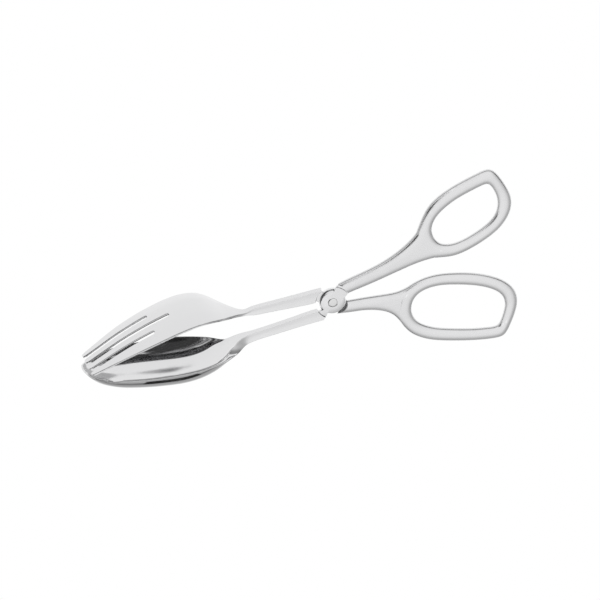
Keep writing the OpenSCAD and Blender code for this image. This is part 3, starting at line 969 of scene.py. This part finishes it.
floor_reach = 0.9         # half the floor's side, in metres
floor_height = cad_box[0][2] - 0.0001
floor_mesh = bpy.data.meshes.new("floor")
floor_mesh.from_pydata([(x * floor_reach, y * floor_reach, floor_height)
                        for x, y in ((-1, -1), (1, -1), (1, 1), (-1, 1))], [], [(0, 1, 2, 3)])
floor = bpy.data.objects.new("floor", floor_mesh)
bpy.context.scene.collection.objects.link(floor)
floor_paint = bpy.data.materials.new("pale floor")
floor_paint.use_nodes = True
paint_tree = floor_paint.node_tree
paint_tree.nodes.clear()
place = paint_tree.nodes.new("ShaderNodeTexCoord").outputs["Object"]
away = paint_tree.nodes.new("ShaderNodeVectorMath")
away.operation = "LENGTH"
paint_tree.links.new(place, away.inputs[0])
fall = ramp(paint_tree, away.outputs["Value"], 0.15, 0.4, 1.3, 0.5)
across = paint_tree.nodes.new("ShaderNodeSeparateXYZ")
paint_tree.links.new(place, across.inputs[0])
front_dim = ramp(paint_tree, across.outputs["Y"], -0.1, -0.035, 0.45, 1.0)
glow = emission_by_ray(paint_tree, 1.0, tree_math(paint_tree, "MULTIPLY", fall, front_dim), 0.8)
paint_tree.links.new(glow, paint_tree.nodes.new("ShaderNodeOutputMaterial").inputs[0])
floor_mesh.materials.append(floor_paint)

# %% The light tent
world = bpy.data.worlds.new("light tent")
bpy.context.scene.world = world
world.use_nodes = True
tent = world.node_tree
tent.nodes.clear()
height = tent.nodes.new("ShaderNodeSeparateXYZ")
tent.links.new(tent.nodes.new("ShaderNodeTexCoord").outputs["Generated"], height.inputs[0])
front_glow = ramp(tent, height.outputs["Z"], 0.42, 0.9, 0.66, 1.36)
back_glow = ramp(tent, height.outputs["Z"], 0.15, 0.75, 0.42, 1.36)
front_share = ramp(tent, height.outputs["Y"], -0.3, 0.3, 1, 0)
lift = tree_math(tent, "SUBTRACT", front_glow, back_glow)
tent_glow = tree_math(tent, "ADD", back_glow, tree_math(tent, "MULTIPLY", lift, front_share))
deep_share = ramp(tent, height.outputs["Y"], 0.0, 0.5, 0.15, 0.8)
glow = emission_by_ray(tent, 1.0, tent_glow, deep_share)
tent.links.new(glow, tent.nodes.new("ShaderNodeOutputWorld").inputs[0])

# %% [markdown]
# ## Dark flags
# In an all-white room a spoon loses its shape. In a studio, black flags stand beside silverware,
# out of view, to draw a dark line along an edge and a deep tone into a bowl. The flags here are
# plain cards that only the steel sees.


# %% Flags
def flag(name, centre, across, up, size, darkness):
    """A card about a point in the mechanism's axes, in millimetres."""
    middle, side, rise = Vector(centre), Vector(across).normalized(), Vector(up).normalized()
    corners = [middle + side * sx * size[0] / 2 + rise * sy * size[1] / 2
               for sx, sy in ((-1, -1), (1, -1), (1, 1), (-1, 1))]
    card = new_object(name, corners, [(0, 1, 2, 3)])
    card.data.transform(placement)
    card_paint = bpy.data.materials.new(name)
    card_paint.use_nodes = True
    card_paint.node_tree.nodes.clear()
    glow = card_paint.node_tree.nodes.new("ShaderNodeEmission")
    glow.inputs["Strength"].default_value = darkness
    card_paint.node_tree.links.new(
        glow.outputs[0], card_paint.node_tree.nodes.new("ShaderNodeOutputMaterial").inputs[0])
    card.data.materials.append(card_paint)
    card.visible_camera = False
    card.visible_shadow = False
    card.visible_diffuse = False


flag("low_flag", (-72, -245, 0), (1, 0, 0), (0, 0, 1), (105, 70), 0.03)
flag("top_flag", (-165, 130, 262), (1, 0, 0), (0, 1, 0), (290, 200), 0.02)
flag("side_flag", (300, 70, 20), (0, 1, 0), (0, 0, 1), (150, 170), 0.05)

# %% [markdown]
# ## The camera
# A long lens far away keeps the two heads at nearly the same scale, as in a catalogue. The
# camera's own axes are given about the rivet and made square to each other, and it aims a little
# to the heads' side of the rivet.

# %% Camera
view_width = 0.3276       # metres across the view at the rivet
aim_left, aim_up = 0.01818, 0.00153              # metres from the rivet's head to the aim
view_right = to_row.to_3x3() @ Vector((0.9593, -0.1556, 0.2356))
view_up = to_row.to_3x3() @ Vector((0.2482, 0.8625, -0.4410))
view_back = view_right.cross(view_up).normalized()
view_up = view_back.cross(view_right).normalized()
view_right.normalize()
aim = placement @ Vector((0, 0, bar_half)) - aim_left * view_right + aim_up * view_up
camera_data = bpy.data.cameras.new("camera")
camera_data.lens = 1200
camera_data.sensor_width = 36
camera_data.clip_start = 0.5
camera_data.clip_end = 50
camera = bpy.data.objects.new("camera", camera_data)
bpy.context.scene.collection.objects.link(camera)
distance = view_width * camera_data.lens / camera_data.sensor_width
turn = Matrix((view_right, view_up, view_back)).transposed().to_4x4()
camera.matrix_world = Matrix.Translation(aim + distance * view_back) @ turn
bpy.context.scene.camera = camera
bpy.context.scene.view_settings.view_transform = "Standard"
print("camera height above the floor:", round(camera.location.z, 3))

# %% Sizes
print("CAD box", [[round(c, 4) for c in corner] for corner in cad_box])
